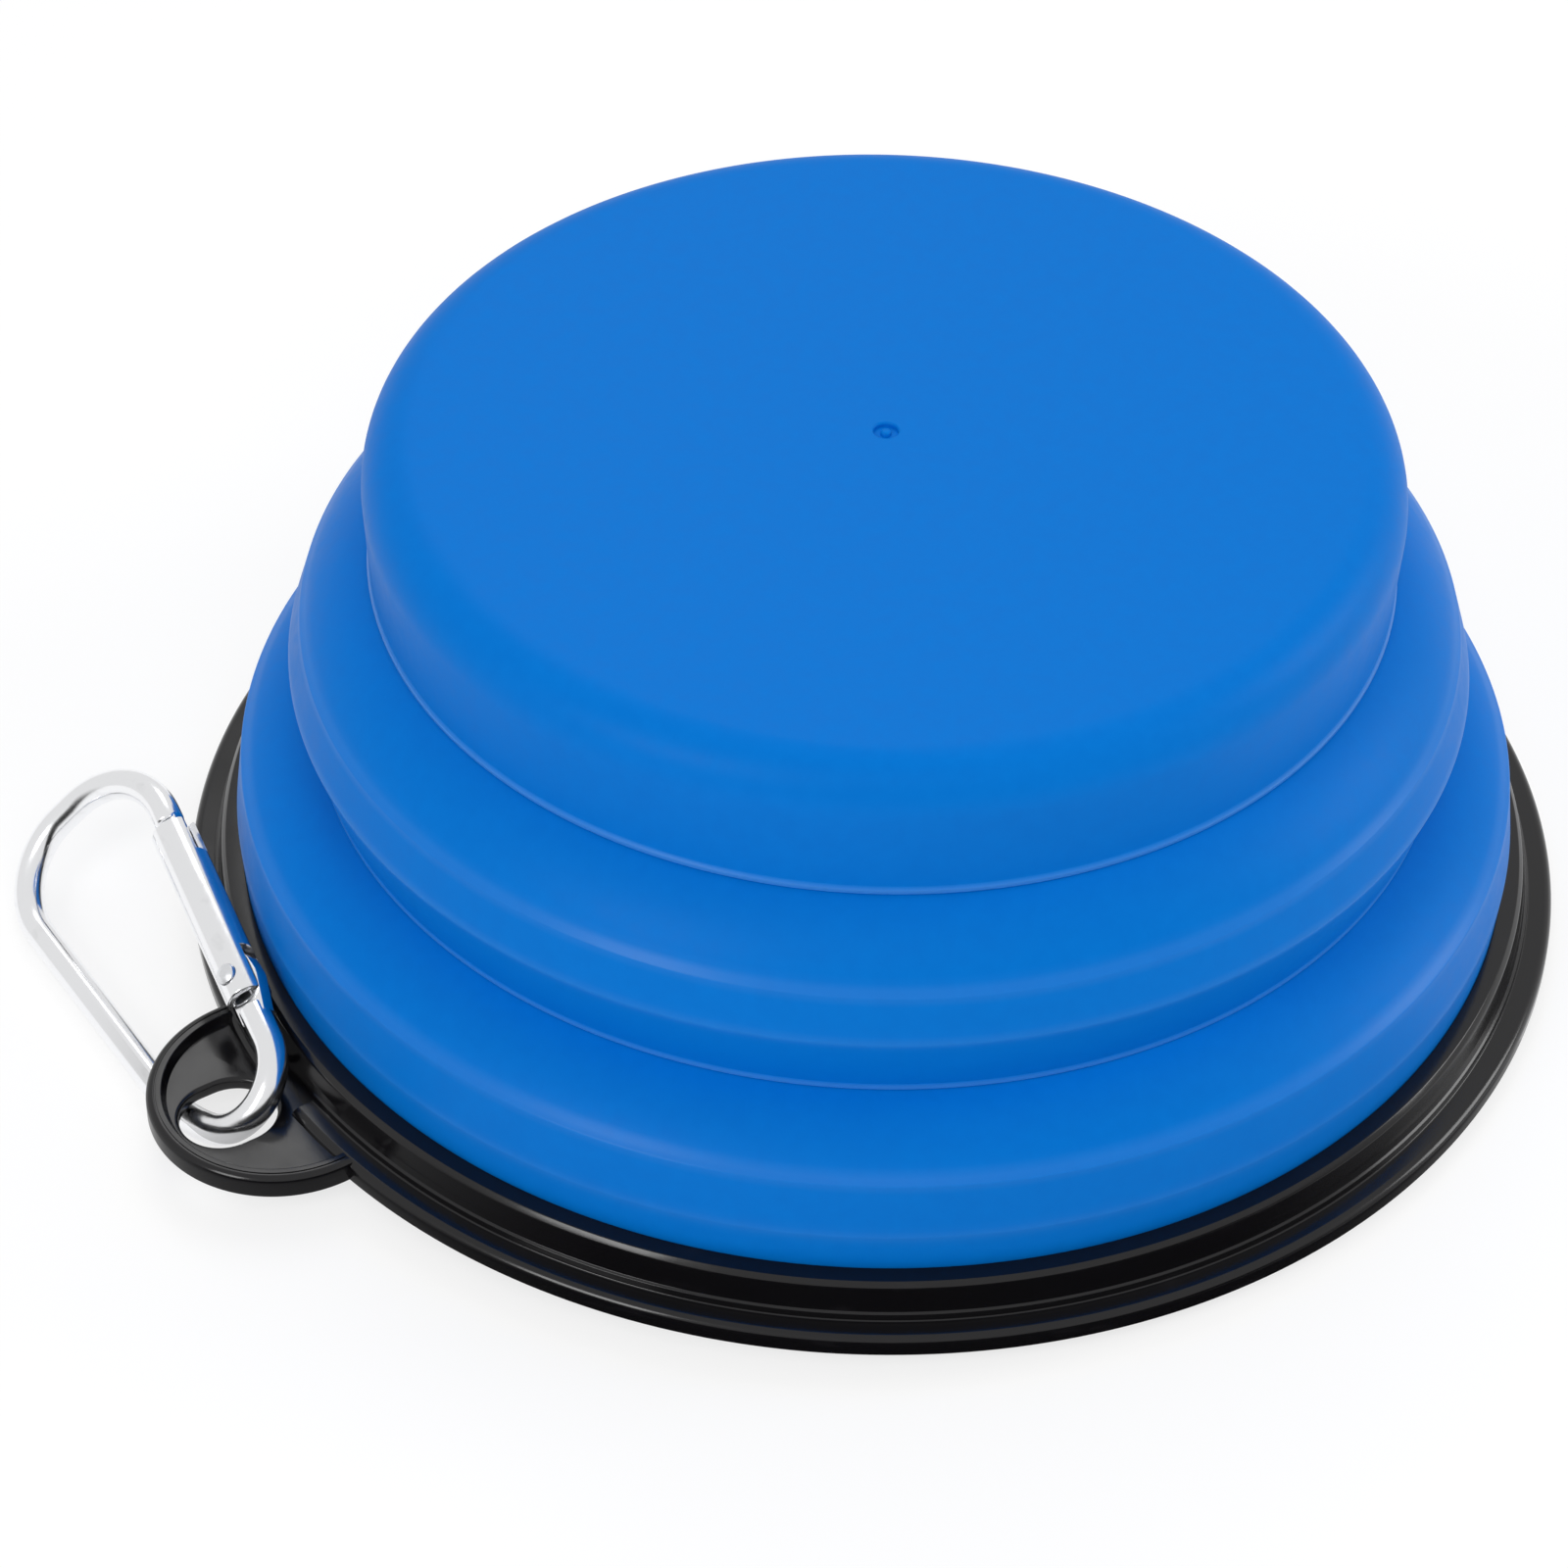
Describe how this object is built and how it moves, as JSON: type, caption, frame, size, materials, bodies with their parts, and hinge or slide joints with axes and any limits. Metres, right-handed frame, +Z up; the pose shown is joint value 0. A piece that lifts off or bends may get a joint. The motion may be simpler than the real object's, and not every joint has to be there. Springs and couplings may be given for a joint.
{
  "type": "collapsible silicone bowl",
  "caption": "Collapsible silicone bowl, upside down, with stepped fold-down walls, a rigid rim ring with a hang tab, and a small spring-gate carabiner.",
  "frame": {"origin": "centre of the base's flat outer face, which points up in the pictured pose", "axes": "+Z up along the bowl's axis and out of the base, -X through the hang tab, +Y along the carabiner's spine"},
  "size_m": [0.1957, 0.18, 0.0749],
  "materials": {
    "silicone": "satin blue moulded silicone, faintly mottled",
    "rim": "semi-gloss black moulded plastic",
    "carabiner": "bright polished",
    "rivet": "pressed satin head",
    "steel": "plain drawn wire"
  },
  "bodies": {
    "rim_body": {"rim_ring": "rim", "outer_band": "silicone", "lower_fold": "silicone"},
    "middle_body": {"middle_band": "silicone", "upper_fold": "silicone"},
    "cup_body": {"base_cup": "silicone"},
    "clip_body": {"carabiner_frame": "carabiner", "gate_rivet": "rivet"},
    "gate_body": {"carabiner_gate": "carabiner", "latch_pin": "steel", "gate_spring": "steel", "spring_plunger": "steel"}
  },
  "joints": [
    {"name": "middle_slide", "type": "slide", "parent": "rim_body", "child": "middle_body", "axis": [0, 0, -1], "range_m": [0, 0.0268], "deforming": ["lower_fold"]},
    {"name": "cup_slide", "type": "slide", "parent": "middle_body", "child": "cup_body", "axis": [0, 0, -1], "range_m": [0, 0.0243], "deforming": ["upper_fold"]},
    {"name": "carabiner_swing", "type": "hinge", "parent": "rim_body", "child": "clip_body", "pos_m": [-0.0957, 0, -0.06905], "axis": [0, -1, 0], "range_deg": [0, 90]},
    {"name": "gate_hinge", "type": "hinge", "parent": "clip_body", "child": "gate_body", "pos_m": [-0.0871, 0.013, -0.06053], "axis": [-0.7009, 0, 0.7133], "range_deg": [0, 28], "stiffness_Nm_per_rad": 0.03, "springref_deg": -22.92}
  ]
}
